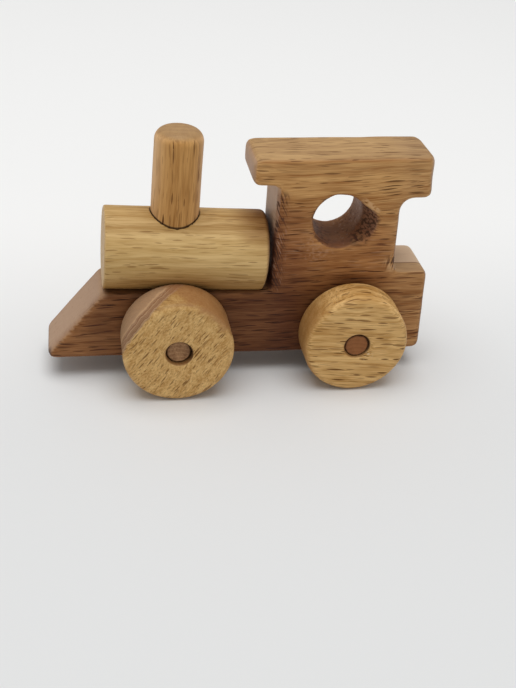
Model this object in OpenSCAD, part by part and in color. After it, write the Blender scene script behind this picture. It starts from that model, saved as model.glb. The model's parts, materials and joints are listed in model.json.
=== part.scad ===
// Wooden push-along toy train: one sawn board for the body, dowels for boiler, chimney and axles,
// and four disc wheels. Millimetres, +X towards the nose, +Y to the train's left, +Z up.
// The origin is on the floor, below the middle of the body.

/* [Body] */
// Length from the tip of the nose to the rear end
body_l = 123.7; // [116:0.1:150]
// Thickness of the board
board_t = 20.3; // [17:0.1:24]
// Height of the front axle above the underside
axle_up = 10.4; // [8:0.1:12]
// Height of the boiler deck above the underside
base_h = 23.2; // [21:0.1:30]
// Slope of the nose, from level
nose_angle = 50.3; // [42:0.1:60]
// Height of the rear deck above the boiler deck
rear_step = 6.7; // [3:0.1:12]
// Lean of the rear end and of the cab's rear wall, wider at the bottom
rear_rake = 2.4; // [0:0.1:5]
// Radius of the corners of the sawn outline
corner_r = 2.3; // [1.5:0.1:3]
// Radius of the tip of the nose
nose_r = 1.7; // [1.5:0.1:4]
// Radius of the sanded edges along both sides of the board
edge_r = 1.6; // [1:0.1:2.8]

/* [Cab] */
// Distance from the nose tip to the front wall of the cab
cab_front = 70.8; // [66:0.1:76]
// Length of the cab from front wall to rear wall
cab_l = 39.4; // [34:0.1:46]
// Height of the front wall, from the boiler deck to the roof
cab_front_h = 36; // [32:0.1:46]
// Thickness of the roof's front end
roof_front_t = 8.7; // [6:0.1:12]
// Thickness of the roof's rear end
roof_rear_t = 13.8; // [7:0.1:16]
// Rise of the top of the roof from its front end to its rear end
roof_rise = 0.9; // [0:0.1:3]
// Reach of the roof in front of the cab
roof_front_reach = 8; // [5:0.1:12]
// Reach of the roof behind the cab
roof_rear_reach = 9.8; // [7:0.1:14]
// Radius of the saw cut where the roof meets the rear wall
cove_r = 4.1; // [1:0.1:6]

/* [Window] */
// Diameter of the round window through the cab
window_d = 17.4; // [12:0.1:22]
// Distance from the cab's front wall to the middle of the window
window_back = 20.5; // [17:0.2:23]
// Height of the middle of the window above the boiler deck
window_up = 24.5; // [18:0.1:26]
// Width of the sanded chamfer around the window's rim
window_rim = 0.5; // [0.2:0.1:2]

/* [Boiler] */
// Diameter of the boiler dowel
boiler_d = 26.3; // [22:0.1:29]
// Reach of the boiler's front end over the front edge of the deck
boiler_reach = -0.6; // [-3:0.1:2]
// Gap left between the boiler and the cab
boiler_gap = 1.6; // [0.3:0.1:3]
// Upward tilt of the boiler towards the nose
boiler_tilt = 2.2; // [0:0.1:3]
// Depth of the flat planed under the middle of the boiler
boiler_flat = 2.3; // [1.8:0.1:4]
// Radius of the edge of the boiler's front end
boiler_front_r = 0.7; // [0.4:0.1:3]
// Radius of the edge of the boiler's rear end
boiler_rear_r = 1.6; // [0.4:0.1:3]

/* [Chimney] */
// Diameter of the chimney dowel
chimney_d = 15.2; // [10:0.1:18]
// Distance from the boiler's front end to the middle of the chimney
chimney_back = 22; // [14:0.1:34]
// Lean of the chimney towards the nose, from square to the boiler
chimney_lean = 0.5; // [-2:0.1:2]
// Height of the chimney above the top of the boiler
chimney_h = 26.8; // [14:0.1:34]
// Depth of the hole that the chimney is glued into
chimney_seat = 12; // [6:0.5:18]
// Radius of the chimney's sanded top edge
chimney_top_r = 3.7; // [0.4:0.1:4]
// Radius of the chimney's lower edge, down in the hole
chimney_foot_r = 0.5; // [0.2:0.1:2]

/* [Wheels] */
// Diameter of the front wheels
front_wheel_d = 35; // [30:0.5:38]
// How much smaller the rear wheels are
rear_wheel_less = 0.9; // [0:0.1:3]
// Thickness of the front wheels
front_wheel_t = 14.2; // [8:0.1:16]
// Thickness of the rear wheels
rear_wheel_t = 12; // [8:0.1:16]
// Radius of the wheels' sanded outer edges
wheel_edge_r = 2.2; // [0.4:0.1:3]
// Radius of the wheels' inner edges
wheel_back_r = 0.9; // [0.4:0.1:2]
// Least gap between a wheel and the side of the body
wheel_gap = 1.2; // [0.6:0.1:3]
// Least gap between a front wheel and the boiler above it
boiler_clearance = 0.3; // [0.2:0.1:2]
// Distance from the nose tip to the front axle
front_axle_back = 40.3; // [34:0.1:44]
// Distance between the axles
wheelbase = 57.4; // [44:0.1:66]

/* [Axles] */
// Diameter of the axle dowels
axle_d = 8; // [6:0.5:9]
// Depth of the front axle's ends below the faces of its wheels
front_axle_recess = 1.7; // [0:0.1:3]
// Depth of the rear axle's ends below the faces of its wheels
rear_axle_recess = 0.7; // [0:0.1:3]
// Chamfer on the axle's ends and around the mouth of the wheel's hole
axle_chamfer = 0.5; // [0.2:0.1:1]
// Clearance around the axle where it turns in the body
running_clearance = 0.1; // [0.02:0.01:0.1]
// Clearance filled with glue, around a dowel in its hole
glue_clearance = 0.05; // [0.01:0.01:0.1]

/* [Hidden] */

$fn = 64;
// Facets of a rounded corner and of a sanded edge
corner_steps = 6;
edge_steps = 6;
// How far the cutters reach past the faces they cut
past = 1;
// Least difference between the radius of a corner and that of the sanded edge beside it
corner_margin = 0.05;
body_wood = "#7d5639";
boiler_wood = "#b08f56";
chimney_wood = "#9a7046";
wheel_wood = "#b8975c";
axle_wood = "#80583f";

rear_wheel_d = front_wheel_d - rear_wheel_less;

// Heights above the floor
front_axle_z = front_wheel_d / 2;
rear_axle_z = rear_wheel_d / 2;
underside_z = front_axle_z - axle_up;
boiler_deck_z = underside_z + base_h;
rear_deck_z = boiler_deck_z + rear_step;
roof_front_z = boiler_deck_z + cab_front_h + roof_front_t;
roof_rear_z = roof_front_z + roof_rise;
window_z = boiler_deck_z + window_up;

// Corners are rounder in the outline than along the sides, so that the side faces keep theirs
outline_r = max(corner_r, edge_r + corner_margin);
tip_r = max(nose_r, edge_r + corner_margin);

// Distances back from the nose tip. The nose and the rear end touch the overall length with their
// rounded corners, so the sharp corners of the outline lie outside it.
nose_corner = tip_r - tip_r / tan(nose_angle / 2);
deck_front = nose_corner + base_h / tan(nose_angle);
cab_rear = cab_front + cab_l;
cab_rear_foot = cab_rear + (roof_rear_z - roof_rear_t - rear_deck_z) * tan(rear_rake);
rear_corner = body_l + outline_r * ((1 + sin(rear_rake)) / cos(rear_rake) - 1);
rear_deck_end = rear_corner - (rear_deck_z - underside_z) * tan(rear_rake);
rear_axle_back = front_axle_back + wheelbase;
boiler_front = deck_front - boiler_reach;
boiler_l = cab_front - boiler_gap - boiler_front;

// The rounding of the chimney's top stops short of its axis
chimney_edge_r = min(chimney_top_r, chimney_d / 4);

// The boiler's axis passes through this point, above the middle of its flat
boiler_mid = [ahead(boiler_front + boiler_l / 2), 0, boiler_deck_z - boiler_flat + boiler_d / 2];

// The wheels stand far enough out to clear the side of the body, and the boiler with the upper inner
// edge of the front wheels, a circle of its own radius this far below the boiler's axis
boiler_drop = boiler_mid[2] + (ahead(front_axle_back) - boiler_mid[0]) * tan(boiler_tilt)
    - (front_axle_z + front_wheel_d / 2 - wheel_back_r);
boiler_keep_off = boiler_d / 2 + boiler_clearance + wheel_back_r;
boiler_side = sqrt(max(0, pow(boiler_keep_off, 2) - pow(boiler_drop, 2))) - wheel_back_r;
wheel_inner_y = max(board_t / 2 + wheel_gap, boiler_side);

// Row X of a place that lies a distance behind the nose tip
function ahead(back) = body_l / 2 - back;

// Round bar along +Z from the origin, with rounded edges at both ends
module rounded_bar(d, l, bottom_r, top_r) {
    rotate_extrude() {
        translate([0, bottom_r]) square([d / 2, l - bottom_r - top_r]);
        square([d / 2 - bottom_r, l - top_r]);
        translate([0, bottom_r]) square([d / 2 - top_r, l - bottom_r]);
        translate([d / 2 - bottom_r, bottom_r]) circle(bottom_r);
        translate([d / 2 - top_r, l - top_r]) circle(top_r);
    }
}

// Bar along the Y axis through the origin
module cross_bar(r, l) {
    rotate([90, 0, 0]) cylinder(r = r, h = l, center = true);
}

// Normal that points into the outline, on the left of an edge that runs from a to b
function inward(a, b) = [a[1] - b[1], b[0] - a[0]] / norm(b - a);

// Rounded corner of the outline at p, as pairs of a point and the direction in which it is set in.
// A radius of 0 leaves the corner sharp.
function corner(before, p, after, r) =
    let (
        n1 = inward(before, p),
        n2 = inward(p, after),
        set_in = (n1 + n2) / (1 + n1 * n2),
        turn = atan2(cross(n1, n2), n1 * n2),
        bend = sign(turn) * r,
        start = atan2(n1[1], n1[0])
    )
    r == 0 ? [[p, set_in]] : [
        for (i = [0 : corner_steps])
            let (a = start + turn * i / corner_steps, n = [cos(a), sin(a)])
            [p + bend * (set_in - n), n]
    ];

// Side view of the body as sharp corners with their radii. The cab runs from the foot of its front
// wall over the roof to the foot of its rear wall, and the base goes on round the rear end and the nose.
cab_corners = [
    [[ahead(cab_front), boiler_deck_z], 0],
    [[ahead(cab_front), roof_front_z - roof_front_t], 0],
    [[ahead(cab_front - roof_front_reach), roof_front_z - roof_front_t], outline_r],
    [[ahead(cab_front - roof_front_reach), roof_front_z], outline_r],
    [[ahead(cab_rear + roof_rear_reach), roof_rear_z], outline_r],
    [[ahead(cab_rear + roof_rear_reach), roof_rear_z - roof_rear_t], outline_r],
    [[ahead(cab_rear), roof_rear_z - roof_rear_t], cove_r],
    [[ahead(cab_rear_foot), rear_deck_z], 0]
];
base_corners = [
    [[ahead(rear_deck_end), rear_deck_z], outline_r],
    [[ahead(rear_corner), underside_z], outline_r],
    [[ahead(nose_corner), underside_z], tip_r],
    [[ahead(deck_front), boiler_deck_z], outline_r]
];

// Points of the rounded outline from the first corner to the given one
function rounded_outline(corners, last) =
    let (n = len(corners))
    [for (i = [0 : last]) each corner(
        corners[(i + n - 1) % n][0], corners[i][0], corners[(i + 1) % n][0], corners[i][1]
    )];

// The board: the rounded outline carried across the thickness and set in towards both side faces
// along a quarter circle, which makes the sanded edges. The side faces fan out from the head and
// from the foot of the cab's front wall, the first two points of the outline.
module softened_board(thickness, r) {
    corners = concat(cab_corners, base_corners);
    outline = rounded_outline(corners, len(corners) - 1);
    n = len(outline);
    rear_foot = len(rounded_outline(corners, len(cab_corners) - 1)) - 1;
    half = [for (i = [0 : edge_steps]) let (a = 90 * i / edge_steps) [r * (1 - cos(a)), r * sin(a) - r]];
    layers = concat(
        [for (i = [edge_steps : -1 : 0]) [half[i][0], -thickness / 2 - half[i][1]]],
        [for (step = half) [step[0], thickness / 2 + step[1]]]
    );
    side = concat(
        [for (i = [2 : rear_foot - 1]) [1, i, i + 1]],
        [[1, rear_foot, 0]],
        [for (i = [rear_foot : n - 2]) [0, i, i + 1]]
    );
    last = n * (len(layers) - 1);
    polyhedron(
        points = [
            for (layer = layers, spot = outline)
                let (q = spot[0] + layer[0] * spot[1])
                [q[0], layer[1], q[1]]
        ],
        faces = concat(
            [for (t = side) [t[2], t[1], t[0]]],
            [for (t = side) [last + t[0], last + t[1], last + t[2]]],
            [
                for (k = [0 : len(layers) - 2], i = [0 : n - 1])
                    let (a = k * n, j = (i + 1) % n)
                    [a + i, a + j, a + n + j, a + n + i]
            ]
        )
    );
}

// Cutter for the round window, with a chamfered rim at both faces of the board
module window_cutter() {
    cross_bar(window_d / 2, board_t + 2 * past);
    for (side = [-1, 1]) rotate([side * 90, 0, 0]) translate([0, 0, board_t / 2 - window_rim])
        cylinder(d1 = window_d, d2 = window_d + 2 * (window_rim + past), h = window_rim + past);
}

// Moves from the boiler's own frame, with its axis along +X from the middle, to its place
module on_boiler_axis() {
    translate(boiler_mid) rotate([0, -boiler_tilt, 0]) children();
}

// Moves from the foot of the chimney, with its axis along +Z, to its place in the boiler
module at_chimney_foot() {
    on_boiler_axis() translate([boiler_l / 2 - chimney_back, 0, boiler_d / 2])
        rotate([0, chimney_lean, 0]) translate([0, 0, -chimney_seat]) children();
}

// Move from the middle of an axle to its place
module at_front_axle() {
    translate([ahead(front_axle_back), 0, front_axle_z]) children();
}

module at_rear_axle() {
    translate([ahead(rear_axle_back), 0, rear_axle_z]) children();
}

module body() {
    color(body_wood) difference() {
        softened_board(board_t, edge_r);
        translate([ahead(cab_front + window_back), 0, window_z]) window_cutter();
        at_front_axle() cross_bar(axle_d / 2 + running_clearance, board_t + 2 * past);
        at_rear_axle() cross_bar(axle_d / 2 + running_clearance, board_t + 2 * past);
    }
}

module boiler() {
    color(boiler_wood) difference() {
        on_boiler_axis() translate([-boiler_l / 2, 0, 0]) rotate([0, 90, 0])
            rounded_bar(boiler_d, boiler_l, boiler_rear_r, boiler_front_r);
        // flat planed to sit level on the deck
        translate([boiler_mid[0], 0, boiler_deck_z - boiler_d / 2])
            cube([2 * boiler_l, 2 * boiler_d, boiler_d], center = true);
        at_chimney_foot() cylinder(d = chimney_d + 2 * glue_clearance, h = boiler_d);
    }
}

module chimney() {
    color(chimney_wood) at_chimney_foot()
        rounded_bar(chimney_d, chimney_seat + chimney_h, chimney_foot_r, chimney_edge_r);
}

// Axle along the Y axis, for wheels of the given thickness, in which its ends are recessed
module axle(wheel_t, recess) {
    cross = 2 * (wheel_inner_y + wheel_t - recess - axle_chamfer);
    cross_bar(axle_d / 2, cross);
    for (side = [-1, 1]) rotate([side * 90, 0, 0]) translate([0, 0, cross / 2])
        cylinder(d1 = axle_d, d2 = axle_d - 2 * axle_chamfer, h = axle_chamfer);
}

// Wheel with its outer face towards +Y, centred on the origin
module wheel(d, wheel_t) {
    hole_d = axle_d + 2 * glue_clearance;
    difference() {
        rotate([-90, 0, 0]) translate([0, 0, -wheel_t / 2])
            rounded_bar(d, wheel_t, wheel_back_r, wheel_edge_r);
        cross_bar(hole_d / 2, wheel_t + 2 * past);
        translate([0, wheel_t / 2 - axle_chamfer, 0]) rotate([-90, 0, 0])
            cylinder(d1 = hole_d, d2 = hole_d + 2 * (axle_chamfer + past), h = axle_chamfer + past);
    }
}

module left_wheel(d, wheel_t) {
    translate([0, wheel_inner_y + wheel_t / 2, 0]) wheel(d, wheel_t);
}

module right_wheel(d, wheel_t) {
    mirror([0, 1, 0]) left_wheel(d, wheel_t);
}

module front_axle() {
    color(axle_wood) at_front_axle() axle(front_wheel_t, front_axle_recess);
}

module front_wheel_left() {
    color(wheel_wood) at_front_axle() left_wheel(front_wheel_d, front_wheel_t);
}

module front_wheel_right() {
    color(wheel_wood) at_front_axle() right_wheel(front_wheel_d, front_wheel_t);
}

module rear_axle() {
    color(axle_wood) at_rear_axle() axle(rear_wheel_t, rear_axle_recess);
}

module rear_wheel_left() {
    color(wheel_wood) at_rear_axle() left_wheel(rear_wheel_d, rear_wheel_t);
}

module rear_wheel_right() {
    color(wheel_wood) at_rear_axle() right_wheel(rear_wheel_d, rear_wheel_t);
}

body();
boiler();
chimney();
front_axle();
front_wheel_left();
front_wheel_right();
rear_axle();
rear_wheel_left();
rear_wheel_right();
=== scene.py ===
import json
import math
from typing import Callable, NamedTuple

import bpy
import numpy as np
from mathutils import Matrix, Quaternion, Vector


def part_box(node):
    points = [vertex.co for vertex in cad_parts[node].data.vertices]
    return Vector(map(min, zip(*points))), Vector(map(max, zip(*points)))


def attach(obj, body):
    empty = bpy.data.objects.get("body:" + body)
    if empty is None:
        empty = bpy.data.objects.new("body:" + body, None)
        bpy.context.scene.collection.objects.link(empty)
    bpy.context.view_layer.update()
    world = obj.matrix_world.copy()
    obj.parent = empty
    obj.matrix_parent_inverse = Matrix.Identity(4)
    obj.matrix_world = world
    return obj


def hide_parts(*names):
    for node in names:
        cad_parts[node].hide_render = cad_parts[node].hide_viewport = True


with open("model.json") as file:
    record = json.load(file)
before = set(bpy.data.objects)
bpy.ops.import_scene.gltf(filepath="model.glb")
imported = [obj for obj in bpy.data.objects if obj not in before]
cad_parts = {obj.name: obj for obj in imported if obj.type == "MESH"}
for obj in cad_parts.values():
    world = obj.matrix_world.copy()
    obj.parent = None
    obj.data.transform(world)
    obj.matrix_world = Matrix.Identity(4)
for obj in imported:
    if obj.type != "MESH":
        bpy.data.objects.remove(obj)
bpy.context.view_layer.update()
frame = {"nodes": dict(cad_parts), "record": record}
nodes = frame["nodes"]
MM = 0.001

# The photograph's camera: focal length and picture height in pixels, place and aim in metres
FOCAL_PX, PICTURE_H_PX = 1046.1, 688
CAMERA_AT = Vector((0.05361, 0.29753, 0.19147))
CAMERA_AIM = Vector((-0.00847, 0.0, 0.00419))
CAMERA_ROLL = math.radians(4.53)
SENSOR_H = 24.0
NEAREST_SEEN = 0.01

# The camera was fitted to the middles of pixels, so the picture moves by half of one
HALF_PIXEL = 0.5 / PICTURE_H_PX

# Light, in metres and watts: a wide ceiling lamp, and the room around it as it lights and as it is seen
LAMP_AT, LAMP_AIM = Vector((0.1, 0.15, 2.0)), Vector((0, 0, 0.03))
LAMP_SIZE, LAMP_POWER = 1.9, 27.0
ROOM_LIGHT, BACKGROUND = 0.42, 0.9
WHITE = (1, 1, 1, 1)

# The floor, in metres: its half width, where it is painted brighter behind the train as painted light, and
# where it fades out of view
FLOOR_HALF, FLOOR_ROUGHNESS = 3.0, 0.7
BRIGHTER_FROM, BRIGHTER_TO = 0.05, -0.12
FADE_FROM, FADE_TO = 0.5, 1.3

# Directions in the train's own frame
FORWARD, LEFT, UP = Vector((1, 0, 0)), Vector((0, 1, 0)), Vector((0, 0, 1))


def corners(node):
    """A node's lowest and highest corners, in millimetres."""
    return [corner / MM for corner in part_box(node)]


def middle(node):
    """The middle of a node's box, in millimetres."""
    low, high = corners(node)
    return (low + high) / 2


def mount(name):
    """One of the record's mounts."""
    return next(m for m in frame["record"]["mounts"] if m["name"] == name)


# Places on the train, in millimetres. The boiler tilts up towards the nose and the chimney leans back.
TILT, LEAN = math.radians(2.2), math.radians(1.7)
BOARD_GRAIN = Vector((1, 0, -0.05)).normalized()
BOILER_AXIS = Vector((math.cos(TILT), 0, math.sin(TILT)))
CHIMNEY_AXIS = Vector((-math.sin(LEAN), 0, math.cos(LEAN)))
BOILER_LOW, BOILER_HIGH = corners("boiler")
BOILER_R = BOILER_HIGH.y
BOILER_RISE = (BOILER_HIGH.x - BOILER_LOW.x) / 2 * math.tan(TILT)
BOILER_MID = Vector((middle("boiler").x, 0, BOILER_HIGH.z - BOILER_R - BOILER_RISE))
CHIMNEY_MID, CHIMNEY_R = middle("chimney"), corners("chimney")[1].y
WINDOW_MID = Vector(mount("cab_window")["pos_m"]) / MM
WINDOW_R = mount("cab_window")["dims"]["r_mm"]
BODY_LOW, BODY_HIGH = corners("body")
AXLE_R = 4.0

# Edges of the board's profile that the frame's boxes don't give, in millimetres
CAB_FRONT, CAB_REAR_FOOT, ROOF_REAR = -8.95, -49.4, -58.2
DECK_Z, REAR_DECK_Z, ROOF_Z = 30.3, 37.0, 66.3

# Share of the even faces that are kept, most of them where a shape bends
FACE_SHARE = 0.35

# Wear in millimetres: corners of the nose and the roof, the window's rear rim, mouths of the wheels' holes
NOSE_WEAR, ROOF_WEAR, RIM_WEAR, HOLE_WEAR = 0.25, 0.9, 2.9, 0.5
UNEVENNESS = 0.03

# Figure that all the wood shares: sizes in millimetres along the grain, along the rings and outwards
STREAK_SIZE, FIBRE_SIZE = (40.0, 1.8, 4.0), (11.0, 0.5, 0.5)
SLOW_SWAY, QUICK_SWAY = ((34.0, 12.0, 12.0), 3.0), ((6.0, 2.4, 2.4), 0.4)
FINE_GAPS, FINE_FLECK, FINE_SHARE = (8.0, 0.62, 0.62), (3.8, 0.16, 0.3), 0.85

# Flecks: the shortest and the weakest as shares of the boldest, and the limits of their soft outline
SHORTEST, WEAKEST = 0.45, 0.3
OUTLINE_FROM, OUTLINE_TO = -0.03, 0.07

# Millimetres of wood between the figures of two seeds
SEED_STEP = 137.0

# Surface of the oiled wood
SPECULAR, ROUGHNESS = 0.2, 0.55
BUMP_STRENGTH, BUMP_DEPTH = 0.4, 0.15 * MM

# Painted shade in the seams around the axles, and painted shade in the joint around the chimney's foot
SEAM_SHADE, FOOT_SHADE = "#2f1b0d", "#2e1b0e"


def linear(code):
    """Linear colour of a screen colour such as #c2905a."""
    parts = [int(code[i:i + 2], 16) / 255 for i in (1, 3, 5)]
    return [c / 12.92 if c <= 0.04045 else ((c + 0.055) / 1.055) ** 2.4 for c in parts] + [1.0]


class Graph:
    """A material, with short names for the shader nodes that it is made of."""

    def __init__(self, name):
        self.material = bpy.data.materials.new(name)
        self.material.use_nodes = True
        self.tree = self.material.node_tree
        self.shader = self.tree.nodes["Principled BSDF"]

    def put(self, socket, value):
        if isinstance(value, bpy.types.NodeSocket):
            self.tree.links.new(value, socket)
        else:
            socket.default_value = value

    def node(self, kind, inputs, **settings):
        made = self.tree.nodes.new(kind)
        for key, value in settings.items():
            setattr(made, key, value)
        for key, value in inputs.items():
            self.put(made.inputs[key], value)
        return made

    def math(self, operation, *values, clamp=False):
        settings = {"operation": operation, "use_clamp": clamp}
        return self.node("ShaderNodeMath", dict(enumerate(values)), **settings).outputs[0]

    def times(self, *values):
        product = values[0]
        for value in values[1:]:
            product = self.math("MULTIPLY", product, value)
        return product

    def unless(self, share):
        """What a share leaves of one."""
        return self.math("SUBTRACT", 1.0, share)

    def swing(self, value, depth, about):
        """A value from 0 to 1, made to swing by a depth about another."""
        return self.math("MULTIPLY_ADD", self.math("SUBTRACT", value, 0.5), depth, about)

    def vector(self, operation, *values):
        made = self.node("ShaderNodeVectorMath", dict(enumerate(values)), operation=operation)
        return made.outputs["Value" if operation in ("LENGTH", "DISTANCE", "DOT_PRODUCT") else "Vector"]

    def offset(self, place, point):
        return self.vector("SUBTRACT", place, tuple(point))

    def along(self, vector, direction):
        """How far a vector goes in a direction."""
        return self.vector("DOT_PRODUCT", vector, tuple(direction))

    def facing(self, normal, direction):
        """One where a face looks in a direction or the opposite one, and none where it lies along it."""
        return self.math("ABSOLUTE", self.along(normal, direction))

    def parts(self, vector):
        made = self.node("ShaderNodeSeparateXYZ", {"Vector": vector})
        return [made.outputs[i] for i in range(3)]

    def joined(self, x, y=0.0, z=0.0):
        return self.node("ShaderNodeCombineXYZ", {"X": x, "Y": y, "Z": z}).outputs[0]

    def stretched(self, vector, *sizes):
        """Coordinates in which a pattern of unit size has these sizes in millimetres."""
        return self.vector("MULTIPLY", vector, tuple(1 / s for s in sizes))

    def noise(self, vector, detail=2.0, out="Fac"):
        settings = {"Vector": vector, "Scale": 1.0, "Detail": detail, "Roughness": 0.5}
        return self.node("ShaderNodeTexNoise", settings).outputs[out]

    def sway(self, value, place, sizes, depth):
        """A value that wanders by a depth from place to place, in patches of these sizes in millimetres."""
        return self.swing(self.noise(self.stretched(place, *sizes)), depth, value)

    def step(self, value, low, high, to_low=0.0, to_high=1.0):
        """A smooth change from to_low to to_high, as a value goes from low to high."""
        settings = {"Value": value, "From Min": low, "From Max": high, "To Min": to_low, "To Max": to_high}
        return self.node("ShaderNodeMapRange", settings, interpolation_type="SMOOTHSTEP").outputs[0]

    def band(self, value, low, high, soft):
        """One between two values, with soft limits."""
        rise = self.step(value, low - soft, low + soft)
        return self.times(rise, self.step(value, high + soft, high - soft))

    def mix(self, factor, a, b, blend="MIX"):
        settings = {"data_type": "RGBA", "blend_type": blend}
        return self.node("ShaderNodeMix", {0: factor, 6: a, 7: b}, **settings).outputs[2]

    def paint(self, colour, code, *shares):
        """A colour laid over another, where all the shares are high."""
        return self.mix(self.times(*shares), colour, linear(code))

    def stain(self, colour, code, *shares):
        """A colour that darkens another, where all the shares are high."""
        return self.mix(self.times(*shares), colour, linear(code), "MULTIPLY")

    def turned(self, vector, angle):
        """Coordinates turned about the Y axis."""
        return self.node("ShaderNodeMapping", {"Vector": vector, "Rotation": (0.0, angle, 0.0)}).outputs[0]

    def near(self, place, point, reach):
        """One around a point, and none at this reach from it."""
        return self.step(self.vector("DISTANCE", place, tuple(point)), reach, 0.3 * reach)

    def off_line(self, place, point, direction):
        """Distance from a line."""
        away = self.vector("CROSS_PRODUCT", self.offset(place, point), tuple(direction))
        return self.vector("LENGTH", away)


class Cut(NamedTuple):
    """How a piece was cut: along the grain, away from the tree's heart, and the axis that it was turned
    about, or a board's side normal. Its seed gives it a figure of its own."""
    grain: Vector
    radial: Vector
    turned: Vector
    seed: int


def flecks(g, p, gaps, half, share):
    """Dark flecks of beech: pointed lenses along the grain, of these half sizes, scattered with these gaps.
    Each has its own length and strength, and a share of them is there."""
    scattered = g.stretched(p, *gaps)
    cell = g.node("ShaderNodeTexVoronoi", {"Vector": scattered, "Scale": 1.0}).outputs
    pick, length, strength = g.parts(cell["Color"])
    off = g.vector("MULTIPLY", g.vector("SUBTRACT", scattered, cell["Position"]), gaps)
    along, across, deep = g.parts(off)
    along = g.math("DIVIDE", along, g.step(length, 0.0, 1.0, SHORTEST * half[0], half[0]))
    deep = g.math("DIVIDE", deep, half[2])
    taper = g.math("SUBTRACT", g.unless(g.times(along, along)), g.times(deep, deep))
    inside = g.math("SUBTRACT", g.times(taper, half[1]), g.math("ABSOLUTE", across))
    shape = g.step(inside, OUTLINE_FROM, OUTLINE_TO)
    there = g.step(pick, 1.0 - share, 1.02 - share)
    return g.times(shape, there, g.step(strength, 0.0, 1.0, WEAKEST, 1.0))


def grain_space(g, place, centre, cut, heart):
    """A piece's own space for its figure, in millimetres: X along the grain, Y along the rings and Z away
    from the heart, with the slow and the quick sway that fibres have."""
    turn = Matrix((cut.grain, cut.radial.cross(cut.grain), cut.radial))
    shift = Vector((SEED_STEP * cut.seed, 0.0, heart)) - turn @ centre
    settings = {"Vector": place, "Rotation": turn.to_euler(), "Location": shift}
    p = g.node("ShaderNodeMapping", settings).outputs[0]
    for sizes, depth in (SLOW_SWAY, QUICK_SWAY):
        sway = g.offset(g.noise(g.stretched(p, *sizes), detail=1.0, out="Color"), (0.5,) * 3)
        p = g.vector("ADD", p, g.vector("MULTIPLY", sway, (0.0, depth, depth)))
    return p


def figure(g, p, look):
    """Growth rings, streaks between them and fine fibres. Gives how light the wood is, and its fibres."""
    radius = g.vector("LENGTH", g.vector("MULTIPLY", p, (0.0, 1.0, 1.0)))
    phase = g.math("FRACT", g.math("DIVIDE", radius, look["ring"]))
    ring = g.times(g.step(phase, 0.0, 0.8), g.step(phase, 1.0, 0.9))
    streak = g.noise(g.stretched(p, *STREAK_SIZE), detail=3.0)
    fibre = g.noise(g.stretched(p, *FIBRE_SIZE), detail=2.0)
    tone = g.swing(streak, look["streak_depth"], 0.5)
    tone = g.math("MULTIPLY_ADD", g.math("SUBTRACT", 0.4, ring), look["ring_depth"], tone)
    tone = g.math("ADD", g.swing(fibre, look["fibre_depth"], 0.0), tone, clamp=True)
    return tone, fibre


def faces(g, normal, cut):
    """How far a face lies across the grain, how flat-sawn it is, and whether it is on a rounded edge."""
    end = g.step(g.facing(normal, cut.grain), 0.45, 0.85)
    flat = g.facing(normal, cut.radial)
    ahead = g.facing(normal, cut.turned)
    around = g.math("SQRT", g.math("SUBTRACT", 1.0, g.times(ahead, ahead), clamp=True))
    edge = g.step(g.math("MAXIMUM", ahead, around), 0.985, 0.80)
    return end, flat, edge


def all_flecks(g, p, look, flat, end):
    """Bold flecks, as flat-sawn and quarter-sawn faces show them, and thin ones, fainter on end grain."""
    along, across, out = g.parts(p)
    bold = flecks(g, p, look["gaps"], look["fleck"], look["fleck_share"])
    rolled = flecks(g, g.joined(along, out, across), look["gaps"], look["fleck"], look["fleck_share"])
    bold = g.times(bold, g.step(flat, 0.4, 0.75))
    rolled = g.times(rolled, g.step(flat, 0.75, 0.4))
    bold = g.times(g.math("MAXIMUM", bold, rolled), look["fleck_depth"])
    fine = g.times(flecks(g, p, FINE_GAPS, FINE_FLECK, FINE_SHARE), look["fine_depth"])
    return g.times(g.math("MAXIMUM", bold, fine), g.math("MULTIPLY_ADD", end, -0.85, 1.0))


def surface(g, tone, fibre, dark):
    """The oiled surface: rougher where the wood is dark, with raised fibres and sunken flecks."""
    rough = g.math("MULTIPLY_ADD", tone, -0.06, ROUGHNESS)
    height = g.math("MULTIPLY_ADD", fibre, 0.35, g.times(dark, -1.0))
    bump = {"Height": height, "Strength": BUMP_STRENGTH, "Distance": BUMP_DEPTH}
    g.put(g.shader.inputs["Specular IOR Level"], SPECULAR)
    g.put(g.shader.inputs["Roughness"], g.math("MULTIPLY_ADD", dark, 0.2, rough))
    g.put(g.shader.inputs["Normal"], g.node("ShaderNodeBump", bump).outputs[0])


def wood(node, look, cut, marks):
    """Oiled beech in the round. marks adds what time and tools have left on this one piece."""
    g = Graph(node + "_wood")
    coords = g.node("ShaderNodeTexCoord", {}).outputs
    place = g.vector("MULTIPLY", coords["Object"], (1 / MM,) * 3)
    p = grain_space(g, place, middle(node), cut, look["heart"])
    tone, fibre = figure(g, p, look)
    end, flat, edge = faces(g, coords["Normal"], cut)
    dark = all_flecks(g, p, look, flat, end)
    quarter = g.times(g.step(flat, 0.98, 0.25), g.unless(end))
    colour = g.mix(tone, linear(look["dark"]), linear(look["light"]))
    colour = g.paint(colour, look["quarter"], quarter, look["quarter_share"])
    colour = g.paint(colour, look["end"], end, look["end_share"])
    colour = g.paint(colour, look["fleck_dark"], dark)
    colour = g.paint(colour, look["edge"], edge, look["edge_share"])
    g.put(g.shader.inputs["Base Color"], marks(g, place, coords["Normal"], colour))
    surface(g, tone, fibre, dark)
    return g.material


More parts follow.
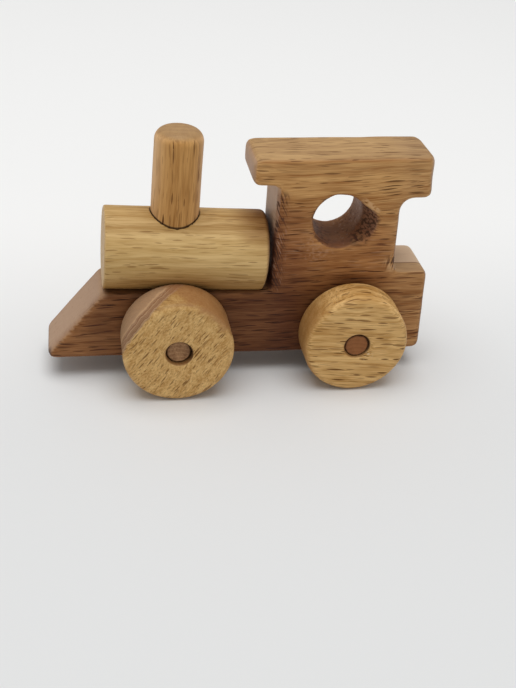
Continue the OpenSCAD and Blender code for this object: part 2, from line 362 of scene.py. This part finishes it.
def sawn_faces(g, place, normal):
    """Where the nose's slope and the rear deck show sawn wood. The nose's limit is ragged."""
    x, y, z = g.parts(place)
    up = g.parts(normal)[2]
    ragged = g.step(g.sway(up, place, (7.0, 1.5, 0.9), 0.9), 0.25, 0.6)
    inner = g.step(g.math("ABSOLUTE", y), 11.0, 4.0, 0.4, 1.0)
    nose = g.times(ragged, g.step(x, 42.0, 45.0), inner)
    behind_cab = g.step(x, CAB_REAR_FOOT + 1.0, CAB_REAR_FOOT)
    rear = g.times(g.step(up, 0.5, 0.8), behind_cab, g.step(z, 50.0, 44.0))
    return nose, rear


def side_shades(g, place, level, sides, colour):
    """The board's sides: darker towards the base, partly the wood's tone and partly painted shade, with a
    painted shadow low in the middle, a little darker at the cab's upper front, and cooler at the nose and
    the rear.
    """
    x = g.parts(place)[0]
    before_rear = g.step(x, -52.0, -42.0, 0.4, 1.0)
    cab_edge = g.band(x, -20.0, CAB_FRONT, 5.0)
    base = g.times(g.band(x, -42.0, 44.0, 10.0), g.step(level, 42.0, 26.0, 0.0, 0.8))
    # darker towards the base: partly the wood's tone, partly painted shade under the boiler and near the
    # floor
    colour = g.stain(colour, "#b58660", sides, before_rear, g.step(level, 66.0, 42.0, 0.0, 0.6))
    colour = g.stain(colour, "#f2f2f8", sides, g.step(x, -42.0, -52.0))
    colour = g.stain(colour, "#dfd2d0", sides, cab_edge, g.step(level, 64.0, 58.0))
    # painted shadow of the boiler and the wheels on the low sides
    colour = g.stain(colour, "#a09097", sides, base)
    return g.stain(colour, "#dcdae2", sides, g.step(x, 38.0, 46.0))


def cab_shades(g, place, normal, colour):
    """Painted shade on the cab's front wall behind the boiler, painted light on that wall above it, and the
    roof's pale upper side.
    """
    x, _, z = g.parts(place)
    ahead, _, up = g.parts(normal)
    gap_shade = g.times(g.step(x, CAB_FRONT - 0.8, CAB_FRONT), g.band(z, DECK_Z + 1.0, 50.0, 1.0))
    front = g.times(g.step(ahead, 0.4, 0.9), g.band(x, CAB_FRONT - 1.0, CAB_FRONT + 1.0, 0.5))
    roof_side = g.times(g.step(up, 0.7, 0.2), g.step(z, ROOF_Z + 3.0, BODY_HIGH.z))
    # painted shade on the cab's front wall behind the boiler
    colour = g.stain(colour, "#8a5238", gap_shade, 0.7)
    # painted light on the cab's front wall above the boiler, which the boiler and the roof shade
    colour = g.paint(colour, "#cdb093", front, g.band(z, 52.0, ROOF_Z, 2.0), 0.7)
    return g.paint(colour, "#c59c68", roof_side, 0.4)


def side_flecks(g, place, level, sides, colour):
    """Long dark flecks and pale dashes on the board's lower sides."""
    x, y, z = g.parts(place)
    sawn = g.joined(x, g.sway(z, place, (30.0, 20.0, 20.0), 4.0), y)
    dark = flecks(g, sawn, (9.5, 1.5, 7.0), (4.9, 0.27, 4.5), 0.65)
    pale = g.step(g.noise(g.stretched(place, 7.0, 3.0, 0.45), detail=1.0), 0.58, 0.7)
    colour = g.stain(colour, "#7e4e34", sides, dark, g.step(level, 62.0, 50.0))
    return g.paint(colour, "#b88f6c", sides, pale, g.band(level, 36.0, 54.0, 5.0), 0.35)


def sawn_shades(g, place, nose, rear, colour):
    """Pale sawn wood on the nose's slope and the rear deck, and a dark line along the deck."""
    y = g.parts(place)[1]
    colour = g.paint(colour, "#b08f74", nose, 0.85)
    colour = g.paint(colour, "#dcbe9f", rear, g.step(y, 4.6, 3.4), 0.9)
    colour = g.paint(colour, "#b8946f", rear, g.step(y, 4.0, 4.8), 0.55)
    return g.paint(colour, "#6a4228", rear, g.band(y, 3.9, 4.4, 0.25), 0.7)


def window_wall(g, place, off, speckle, colour):
    """The window's wall, painted darker as shade inside the bore and darkest at the bottom, and rough
    towards the rear.
    """
    x, y, z = g.parts(place)
    behind = g.step(x, WINDOW_MID.x + 1.0, WINDOW_MID.x - 4.0)
    rough = g.times(g.step(off, WINDOW_R + 0.6, WINDOW_R + 0.2), behind)
    bottom = g.times(g.step(z, WINDOW_MID.z - 4.0, WINDOW_MID.z - 7.0), g.step(y, 2.0, 7.0))
    # painted shade on the bore's wall
    colour = g.paint(colour, "#9c683c", g.step(off, WINDOW_R + 0.9, WINDOW_R + 0.1, 0.0, 0.85))
    colour = g.paint(colour, "#c4a084", rough, g.step(speckle, 0.57, 0.64), 0.45)
    colour = g.paint(colour, "#40281a", rough, g.step(speckle, 0.43, 0.36), 0.5)
    # painted shade, darkest at the bore's bottom
    return g.paint(colour, "#6a4030", bottom, g.step(off, WINDOW_R + 0.9, WINDOW_R + 0.4), 0.6)


def dug_rim(g, place, off, speckle, colour):
    """The window's rear rim, dug out under a slanting line, with a pale ridge along that line: torn fibres,
    and also painted light on the bore's shaded wall.
    """
    x, y, z = g.parts(place)
    drift = g.sway(0.0, place, (3.0, 3.0, 2.0), 1.6)
    tip = g.offset(place, (WINDOW_MID.x - 11.4, 0.0, WINDOW_MID.z + 2.4))
    under = g.math("ADD", g.along(tip, (0.58, 0.0, -0.81)), drift)
    beyond = g.math("ADD", g.along(tip, (0.75, 0.0, 0.66)), drift)
    behind = g.times(g.step(x, WINDOW_MID.x - 1.0, WINDOW_MID.x - 5.0), g.step(y, 1.0, 5.0))
    reach = g.step(g.math("SUBTRACT", off, drift), WINDOW_R + 4.4, WINDOW_R + 2.4)
    dug = g.times(behind, g.step(under, -0.3, 0.8), reach, g.step(z, 45.0, 49.0))
    ridge = g.times(behind, g.band(under, -1.8, -0.1, 0.4), g.band(beyond, 0.5, 7.0, 1.0))
    colour = g.paint(colour, "#7a4a30", dug, 0.6)
    colour = g.paint(colour, "#35200f", dug, g.step(speckle, 0.45, 0.58), 0.8)
    # pale ridge: torn fibres, and painted light on the shaded wall of the bore
    return g.paint(colour, "#d6ab7a", ridge, g.step(speckle, 0.38, 0.52), 0.7)


def front_rim(g, place, off, speckle, colour):
    """The window's front rim, speckled dark, and scuffed below."""
    ahead = g.step(g.parts(place)[0], WINDOW_MID.x - 2.0, WINDOW_MID.x + 4.0)
    lip = g.times(g.band(off, WINDOW_R - 0.3, WINDOW_R + 0.9, 0.5), ahead)
    scuffed = g.near(place, (WINDOW_MID.x + 6.5, BODY_HIGH.y, WINDOW_MID.z - 8.5), 8.0)
    outside = g.step(off, WINDOW_R + 0.8, WINDOW_R + 2.0)
    colour = g.paint(colour, "#4b2f22", lip, g.step(speckle, 0.45, 0.6), 0.6)
    return g.paint(colour, "#b88a66", scuffed, g.step(speckle, 0.46, 0.62), outside, 0.5)


def torn_edges(g, place, colour):
    """Fibres torn along the cab's front edge and at the foot of its rear wall, and a chip at the nose."""
    x, y, z = g.parts(place)
    strokes = g.noise(g.stretched(g.turned(place, -0.42), 0.5, 2.0, 4.0), detail=1.0)
    by_front = g.step(x, CAB_FRONT - 5.0, CAB_FRONT - 1.0)
    by_side = g.step(y, BODY_HIGH.y - 3.0, BODY_HIGH.y - 1.0)
    torn = g.times(by_front, by_side, g.band(z, DECK_Z + 1.0, ROOF_Z - 2.0, 1.5))
    colour = g.stain(colour, "#b49286", torn, 0.6)
    colour = g.paint(colour, "#3f261b", torn, g.step(strokes, 0.53, 0.60), 0.85)
    colour = g.paint(colour, "#a8836c", torn, g.step(strokes, 0.40, 0.32), 0.7)
    foot = (CAB_REAR_FOOT + 0.7, BODY_HIGH.y - 0.5, REAR_DECK_Z + 3.0)
    split = g.noise(g.stretched(g.turned(place, 0.2), 0.8, 3.0, 4.0), detail=0.0)
    colour = g.paint(colour, "#cda577", g.near(place, foot, 4.4), g.step(split, 0.50, 0.42), 0.85)
    colour = g.paint(colour, "#3f2417", g.near(place, foot, 4.0), g.step(split, 0.54, 0.60), 0.8)
    chip = g.near(place, (BODY_HIGH.x - 0.8, BODY_HIGH.y - 2.2, BODY_LOW.z + 1.8), 2.2)
    return g.paint(colour, "#33231f", chip, 0.6)


def body_marks(g, place, normal, colour):
    """The board's shades and flecks, its window and its torn edges."""
    level = g.sway(g.parts(place)[2], place, (40.0, 30.0, 9.0), 14.0)
    nose, rear = sawn_faces(g, place, normal)
    sides = g.unless(g.math("MAXIMUM", nose, rear))
    colour = side_shades(g, place, level, sides, colour)
    colour = cab_shades(g, place, normal, colour)
    colour = side_flecks(g, place, level, sides, colour)
    colour = sawn_shades(g, place, nose, rear, colour)
    off = g.off_line(place, WINDOW_MID, LEFT)
    speckle = g.noise(g.stretched(place, 1.3, 1.3, 0.8), detail=3.0)
    for window_part in (window_wall, dug_rim, front_rim):
        colour = window_part(g, place, off, speckle, colour)
    return torn_edges(g, place, colour)


def boiler_marks(g, place, normal, colour):
    """A dark line of painted shade around the chimney's foot, a painted shadow of the cab on the upper
    rear, painted shade on the end beside the cab, and painted shade that makes the top and underside
    greyer.
    """
    x, _, z = g.parts(place)
    up = g.parts(normal)[2]
    off = g.off_line(place, CHIMNEY_MID, CHIMNEY_AXIS)
    drift = g.sway(x, place, (12.0, 8.0, 3.0), 10.0)
    cab_shadow = g.step(drift, BOILER_LOW.x + 13.0, BOILER_LOW.x + 2.0)
    # painted shade in the joint around the chimney's foot
    colour = g.paint(colour, FOOT_SHADE, g.step(off, CHIMNEY_R + 0.5, CHIMNEY_R + 0.15, 0.0, 0.85))
    # painted shadow that the cab casts on the boiler's upper rear
    colour = g.stain(colour, "#b08a62", cab_shadow, g.step(z, BOILER_MID.z, BOILER_HIGH.z), 0.8)
    # painted shade on the top, which takes the most light
    colour = g.stain(colour, "#f0ece8", g.step(up, 0.5, 0.95))
    # painted shade on the underside
    colour = g.stain(colour, "#d2c2ac", g.step(up, 0.0, -0.7))
    # painted shade on the boiler's end, in the narrow space beside the cab
    return g.stain(colour, "#6e4528", g.step(x, BOILER_LOW.x + 1.6, BOILER_LOW.x + 0.3), 0.7)


def chimney_marks(g, place, normal, colour):
    """Painted shade: a dark line around its foot, where it meets the boiler."""
    off = g.off_line(place, BOILER_MID, BOILER_AXIS)
    # painted shade in the joint around the chimney's foot
    return g.paint(colour, FOOT_SHADE, g.step(off, BOILER_R + 0.3, BOILER_R + 0.05, 0.0, 0.85))


def axle_marks(centre):
    """Marks of one axle: painted shade that darkens the rim of its ends, in the seams around them."""
    def marks(g, place, normal, colour):
        ragged = g.sway(g.off_line(place, centre, LEFT), place, (1.2, 1.2, 1.2), 0.8)
        # painted shade in the seam at the rim of the axle's end
        return g.paint(colour, SEAM_SHADE, g.step(ragged, AXLE_R - 0.75, AXLE_R - 0.25), 0.75)
    return marks


def wheel_layers(g, place, centre, side, colour):
    """Dark and light layers of wood that come out at the rim, and a reddish patch opposite."""
    off = g.offset(place, centre)
    out = g.sway(g.along(off, (0.72, -0.5 * side, 0.48)), place, (3.0, 3.0, 3.0), 1.6)
    lines = g.noise(g.stretched(g.joined(out), 0.35, 1.0, 1.0))
    red = g.sway(g.along(off, (-0.6, -0.35 * side, 0.72)), place, (5.0, 5.0, 3.0), 6.0)
    colour = g.paint(colour, "#a88668", g.step(out, 9.6, 10.3), 0.85)
    colour = g.paint(colour, "#7a5032", g.band(out, 10.2, 12.6, 0.4), g.step(lines, 0.4, 0.6), 0.8)
    colour = g.paint(colour, "#c9a37c", g.band(out, 12.8, 13.4, 0.25), 0.6)
    return g.paint(colour, "#96663f", g.step(red, 11.0, 13.5), 0.65)


def wheel_crumbs(g, place, centre, side, rim, colour):
    """A rim that darkens forwards, and crumbs of glue beside the axle."""
    forward = g.step(g.parts(place)[0], centre.x + 8.0, centre.x + 15.0)
    crumbs = g.near(place, (centre.x - 3.6, centre.y + 6.0 * side, centre.z - 3.4), 2.6)
    specks = g.step(g.noise(g.stretched(place, 0.8, 0.8, 0.8)), 0.56, 0.64)
    colour = g.paint(colour, "#9f703c", rim, forward, 0.7)
    return g.paint(colour, "#e2c59a", crumbs, specks, 0.8)


def axle_seam(g, place, centre, colour):
    """Painted shade in the seam around an axle's end, darkest on its upper side, where the hole's edge
    casts a painted shadow.
    """
    seam = g.step(g.off_line(place, centre, LEFT), AXLE_R + 0.6, AXLE_R + 0.2)
    upper = g.step(g.along(g.offset(place, centre), (-0.5, 0, 0.85)), -2.5, 1.5)
    # painted shade in the seam around the axle
    colour = g.paint(colour, "#8a5c33", seam, 0.7)
    # painted shadow that the hole's upper edge casts into the seam
    return g.paint(colour, SEAM_SHADE, seam, upper, 0.8)


def wheel_marks(centre, side, layered):
    """Marks of one wheel: painted shade on the upward tread of the layered one, the layers or the crumbs
    that it shows, and painted shade in the seam around its axle.
    """
    def marks(g, place, normal, colour):
        rim = g.step(g.times(g.along(normal, LEFT), side), 0.95, 0.5)
        if layered:
            # painted shade on the upward-facing tread, which takes the most light
            colour = g.stain(colour, "#d6d0ca", rim, g.step(g.parts(normal)[2], 0.0, 0.6))
            colour = wheel_layers(g, place, centre, side, colour)
        else:
            colour = wheel_crumbs(g, place, centre, side, rim, colour)
        return axle_seam(g, place, centre, colour)
    return marks


# Looks of the wood. In millimetres, heart is the distance to the tree's heart, ring the rings' spacing,
# and gaps and fleck are the flecks' spacing and half sizes. Each depth and share is a strength.
LOOKS = {
    "body": dict(
        # quarter colours the board's top, bottom and deck faces: partly the wood of the board's edge,
        # partly painted shade on the top faces, which take the most light
        light="#e2b172", dark="#99632d", quarter="#ac9068",
        end="#b1947f", edge="#c2956a", fleck_dark="#4a2203",
        heart=55.0, ring=4.6, ring_depth=0.2, streak_depth=1.4, fibre_depth=1.4, quarter_share=0.55,
        gaps=(9.5, 1.15, 7.0), fleck=(4.7, 0.29, 4.5), fleck_share=0.55, fleck_depth=1.0, fine_depth=0.4,
        end_share=0.8, edge_share=0.1,
    ),
    "boiler": dict(
        light="#dfbd82", dark="#b28b4e", quarter="#e2bf82",
        end="#c8a67c", edge="#cfae80", fleck_dark="#7a5122",
        heart=40.0, ring=2.4, ring_depth=0.3, streak_depth=2.0, fibre_depth=1.4, quarter_share=0.25,
        gaps=(10.0, 1.1, 7.0), fleck=(4.9, 0.17, 4.5), fleck_share=0.4, fleck_depth=0.6, fine_depth=0.55,
        end_share=0.5, edge_share=0.25,
    ),
    "chimney": dict(
        # quarter colours the sides that face forward and back: partly paler quarter-sawn wood, partly
        # painted light for the sheen on those sides
        light="#e0ac68", dark="#a87439", quarter="#ecc394",
        end="#9f8462", edge="#c49b6c", fleck_dark="#552b0a",
        heart=30.0, ring=3.0, ring_depth=0.3, streak_depth=1.3, fibre_depth=1.0, quarter_share=0.6,
        gaps=(7.5, 1.7, 7.0), fleck=(4.2, 0.28, 4.5), fleck_share=0.65, fleck_depth=0.9, fine_depth=0.35,
        end_share=0.65, edge_share=0.1,
    ),
    "front_wheel": dict(
        light="#e4bc7c", dark="#b88a4c", quarter="#d6ae66",
        end="#cba061", edge="#c9a277", fleck_dark="#6f471e",
        heart=45.0, ring=3.4, ring_depth=0.1, streak_depth=1.5, fibre_depth=1.9, quarter_share=0.0,
        gaps=(4.2, 0.95, 5.0), fleck=(2.2, 0.25, 3.4), fleck_share=0.65, fleck_depth=0.9, fine_depth=0.6,
        end_share=0.1, edge_share=0.1,
    ),
    "rear_wheel": dict(
        light="#e8be7e", dark="#b8894a", quarter="#d8b16a",
        end="#cba061", edge="#cfa870", fleck_dark="#663f17",
        heart=45.0, ring=3.4, ring_depth=0.3, streak_depth=1.6, fibre_depth=1.9, quarter_share=0.0,
        gaps=(7.0, 1.5, 6.0), fleck=(3.7, 0.32, 4.2), fleck_share=0.65, fleck_depth=1.0, fine_depth=0.5,
        end_share=0.1, edge_share=0.1,
    ),
    "front_axle": dict(
        light="#b88c62", dark="#7d5638", quarter="#b48a62",
        end="#9a724c", edge="#8a6041", fleck_dark="#4f3120",
        heart=12.0, ring=1.4, ring_depth=0.4, streak_depth=1.6, fibre_depth=1.8, quarter_share=0.0,
        gaps=(4.0, 0.9, 4.0), fleck=(1.6, 0.2, 3.0), fleck_share=0.7, fleck_depth=0.8, fine_depth=0.7,
        end_share=0.2, edge_share=0.2,
    ),
    "rear_axle": dict(
        light="#a2693a", dark="#845029", quarter="#a2703f",
        end="#8c5730", edge="#8a6041", fleck_dark="#4f3120",
        heart=12.0, ring=1.4, ring_depth=0.5, streak_depth=1.2, fibre_depth=0.7, quarter_share=0.0,
        gaps=(4.0, 0.9, 4.0), fleck=(1.6, 0.2, 3.0), fleck_share=0.5, fleck_depth=0.5, fine_depth=0.4,
        end_share=0.4, edge_share=0.2,
    ),
}


def smooth(value, low, high):
    """A smooth change from none to one, as a value goes from low to high."""
    t = np.clip((value - low) / (high - low), 0, 1)
    return t * t * (3 - 2 * t)


def waves(place, size, seed, count=14):
    """A smooth random rise and fall, of about unit height."""
    rng = np.random.default_rng(seed)
    rise = np.zeros(len(place))
    for _ in range(count):
        direction = rng.normal(size=3)
        direction *= math.tau / (size * rng.uniform(0.7, 1.8) * np.linalg.norm(direction))
        rise += np.sin(place @ direction + rng.uniform(0, math.tau))
    return rise / math.sqrt(count / 2)


def unworn(place):
    return place


def sand_corners(place):
    """Sands back the corners of the nose's tip and of the roof's rear end."""
    x, y, z = place.T
    nose = smooth(np.abs(y), 4.5, 11.5) ** 1.5 * smooth(x, BODY_HIGH.x - 12, BODY_HIGH.x)
    place[:, 0] -= NOSE_WEAR * nose
    rear = smooth(np.abs(y), 5.0, 10.0) * smooth(x, ROOF_REAR + 6.0, ROOF_REAR)
    place[:, 0] += ROOF_WEAR * rear ** 2 * smooth(z, ROOF_Z - 4.0, ROOF_Z + 4.0)


def dig_rim(place):
    """Digs out the window's rear rim on the near side, under a slanting line."""
    x, y, z = place.T
    off = np.stack([x - WINDOW_MID.x, z - WINDOW_MID.z], 1)
    distance = np.maximum(np.linalg.norm(off, axis=1), 1e-6)
    rearwards = np.maximum(0, off @ np.array([-0.99, -0.12]) / distance)
    under = (off - np.array([-7.1, 5.8])) @ np.array([0.5, -0.87])
    near = smooth(y, 2.0, 9.5) * smooth(distance, 17.0, WINDOW_R)
    depth = RIM_WEAR * rearwards ** 3 * smooth(under, 0.2, 1.8) + 0.1 * waves(place, size=7.0, seed=31)
    place[:, [0, 2]] += off / distance[:, None] * (near * depth)[:, None]


def body_wear(place):
    """The board's corners sanded back, and the window's rear rim dug out."""
    sand_corners(place)
    dig_rim(place)
    return place


def hole_wear(centre, side, angle):
    """The mouth of a wheel's hole worn down on one side."""
    def wear(place):
        off = place[:, [0, 2]] - np.array([centre.x, centre.z])
        distance = np.maximum(np.linalg.norm(off, axis=1), 1e-6)
        toward = 0.5 + 0.5 * (off @ np.array([math.cos(angle), math.sin(angle)])) / distance
        face = smooth((place[:, 1] - centre.y) * side, 4.0, 5.9)
        place[:, 1] -= side * HOLE_WEAR * face * toward ** 1.5 * smooth(distance, 6.2, 4.2)
        return place
    return wear


class Sanding(NamedTuple):
    """Size of a piece's even faces in millimetres, how often it is smoothed, its wear and unevenness."""
    face: float
    passes: int
    wear: Callable = unworn
    uneven: float = UNEVENNESS


def apply_modifiers(piece):
    """Makes a piece's modifiers part of its mesh."""
    graph = bpy.context.evaluated_depsgraph_get()
    mesh = bpy.data.meshes.new_from_object(piece.evaluated_get(graph))
    piece.modifiers.clear()
    piece.data = mesh


def even_faces(piece, sanding):
    """Gives a piece fine even faces and rounds its edges."""
    even = piece.modifiers.new("even", "REMESH")
    even.mode = "VOXEL"
    even.voxel_size = sanding.face * MM
    rounding = piece.modifiers.new("rounding", "SMOOTH")
    rounding.factor = 0.5
    rounding.iterations = sanding.passes
    apply_modifiers(piece)


def fewer_faces(piece):
    """Keeps a share of a piece's faces."""
    fewer = piece.modifiers.new("fewer", "DECIMATE")
    fewer.ratio = FACE_SHARE
    apply_modifiers(piece)


def vertex_values(mesh, kind):
    """The places or the normals of a mesh's vertices, one row for each."""
    values = np.empty(len(mesh.vertices) * 3)
    mesh.vertices.foreach_get(kind, values)
    return values.reshape(-1, 3)


def wear_down(mesh, sanding, seed):
    """Takes a little wood off a mesh, unevenly, and wears it."""
    place, normal = vertex_values(mesh, "co") / MM, vertex_values(mesh, "normal")
    place -= normal * (sanding.uneven * np.maximum(0, 1 + waves(place, size=18.0, seed=seed)))[:, None]
    place = sanding.wear(place)
    mesh.vertices.foreach_set("co", (place * MM).ravel())
    mesh.update()


def sanded(node, sanding, seed):
    """A node's own shape in fine even faces, with its edges worn round and its faces a little uneven."""
    piece = bpy.data.objects.new("sanded_" + node, nodes[node].data.copy())
    bpy.context.scene.collection.objects.link(piece)
    even_faces(piece, sanding)
    wear_down(piece.data, sanding, seed)
    fewer_faces(piece)
    piece.data.polygons.foreach_set("use_smooth", [True] * len(piece.data.polygons))
    return piece


def dress(node, body, look, cut, sanding, marks):
    """Replaces a node with its sanded shape in its own wood."""
    piece = sanded(node, sanding, cut.seed)
    piece.data.materials.clear()
    piece.data.materials.append(wood(node, LOOKS[look], cut, marks))
    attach(piece, body)
    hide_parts(node)


def wheelset(end, grain, worn_at):
    """An axle and its two wheels, with this grain. Their holes are worn at an angle in radians."""
    body = end + "_wheelset"
    axle = end + "_axle"
    dowel = Cut(LEFT, UP, LEFT, seed=4)
    dress(axle, body, axle, dowel, Sanding(face=0.3, passes=1, uneven=0.0), axle_marks(middle(axle)))
    radial = grain.cross(LEFT).cross(grain).normalized()
    for side, sign, seed in (("left", 1, 5), ("right", -1, 6)):
        node = f"{end}_wheel_{side}"
        centre = middle(node)
        sanding = Sanding(face=0.4, passes=2, wear=hole_wear(centre, sign, worn_at))
        marks = wheel_marks(centre, sign, layered=end == "front" and side == "left")
        dress(node, body, end + "_wheel", Cut(grain, radial, LEFT, seed), sanding, marks)


def pieces():
    """The board, the two dowels on it and the two wheelsets."""
    board = Cut(BOARD_GRAIN, LEFT, LEFT, seed=1)
    thick_dowel = Cut(BOILER_AXIS, CHIMNEY_AXIS, BOILER_AXIS, seed=2)
    thin_dowel = Cut(CHIMNEY_AXIS, LEFT, CHIMNEY_AXIS, seed=3)
    dress("body", "body", "body", board, Sanding(face=0.6, passes=16, wear=body_wear), body_marks)
    dress("boiler", "body", "boiler", thick_dowel, Sanding(face=0.45, passes=1), boiler_marks)
    dress("chimney", "body", "chimney", thin_dowel, Sanding(face=0.4, passes=2), chimney_marks)
    slant = (FORWARD * -0.5 + UP * 0.7 + LEFT * 0.55).normalized()
    level = (FORWARD * 0.99 + UP * 0.08 + LEFT * 0.05).normalized()
    wheelset("front", slant, worn_at=-0.6)
    wheelset("rear", level, worn_at=3.6)


def floor_material():
    """Pale and matt, painted a little brighter at the back as painted light. Far away, the camera sees the
    background instead.
    """
    g = Graph("pale_floor")
    place = g.node("ShaderNodeTexCoord", {}).outputs["Object"]
    back = g.step(g.parts(place)[1], BRIGHTER_FROM, BRIGHTER_TO)
    # painted light: the floor is paler behind the train
    g.put(g.shader.inputs["Base Color"], g.mix(back, linear("#e5e6e6"), linear("#fafaf9")))
    g.put(g.shader.inputs["Roughness"], FLOOR_ROUGHNESS)
    away = g.step(g.vector("LENGTH", place), FADE_FROM, FADE_TO)
    seen = g.times(away, g.node("ShaderNodeLightPath", {}).outputs["Is Camera Ray"])
    white = g.node("ShaderNodeEmission", {"Color": WHITE, "Strength": BACKGROUND}).outputs[0]
    faded = g.node("ShaderNodeMixShader", {0: seen, 1: g.shader.outputs[0], 2: white}).outputs[0]
    g.put(g.tree.nodes["Material Output"].inputs["Surface"], faded)
    return g.material


def floor():
    """A floor that is wide enough to fill the view."""
    square = [(-1, -1), (1, -1), (1, 1), (-1, 1)]
    mesh = bpy.data.meshes.new("floor")
    mesh.from_pydata([(FLOOR_HALF * x, FLOOR_HALF * y, 0) for x, y in square], [], [(0, 1, 2, 3)])
    mesh.materials.append(floor_material())
    plane = bpy.data.objects.new("floor", mesh)
    bpy.context.scene.collection.objects.link(plane)


def ceiling_lamp():
    data = bpy.data.lights.new("ceiling", "AREA")
    data.shape = "DISK"
    data.size = LAMP_SIZE
    data.energy = LAMP_POWER
    light = bpy.data.objects.new("ceiling", data)
    light.location = LAMP_AT
    light.rotation_euler = (LAMP_AIM - LAMP_AT).to_track_quat("-Z", "Y").to_euler()
    bpy.context.scene.collection.objects.link(light)


def room():
    """Even light from all around. The camera sees it as the bright background."""
    world = bpy.data.worlds.new("room")
    world.use_nodes = True
    tree = world.node_tree
    light = tree.nodes["Background"]
    light.inputs["Color"].default_value = WHITE
    seen = tree.nodes.new("ShaderNodeLightPath").outputs["Is Camera Ray"]
    strength = tree.nodes.new("ShaderNodeMapRange")
    strength.inputs["To Min"].default_value = ROOM_LIGHT
    strength.inputs["To Max"].default_value = BACKGROUND
    tree.links.new(seen, strength.inputs["Value"])
    tree.links.new(strength.outputs[0], light.inputs["Strength"])
    bpy.context.scene.world = world


def camera():
    data = bpy.data.cameras.new("camera")
    data.sensor_fit = "VERTICAL"
    data.sensor_height = SENSOR_H
    data.lens = FOCAL_PX / PICTURE_H_PX * SENSOR_H
    data.clip_start = NEAREST_SEEN
    data.shift_x, data.shift_y = -HALF_PIXEL, HALF_PIXEL
    view = bpy.data.objects.new("camera", data)
    aim = (CAMERA_AIM - CAMERA_AT).to_track_quat("-Z", "Y")
    view.rotation_mode = "QUATERNION"
    view.rotation_quaternion = aim @ Quaternion((0, 0, 1), CAMERA_ROLL)
    view.location = CAMERA_AT
    bpy.context.scene.collection.objects.link(view)
    bpy.context.scene.camera = view


camera()
pieces()
floor()
ceiling_lamp()
room()
bpy.context.scene.view_settings.view_transform = "Standard"
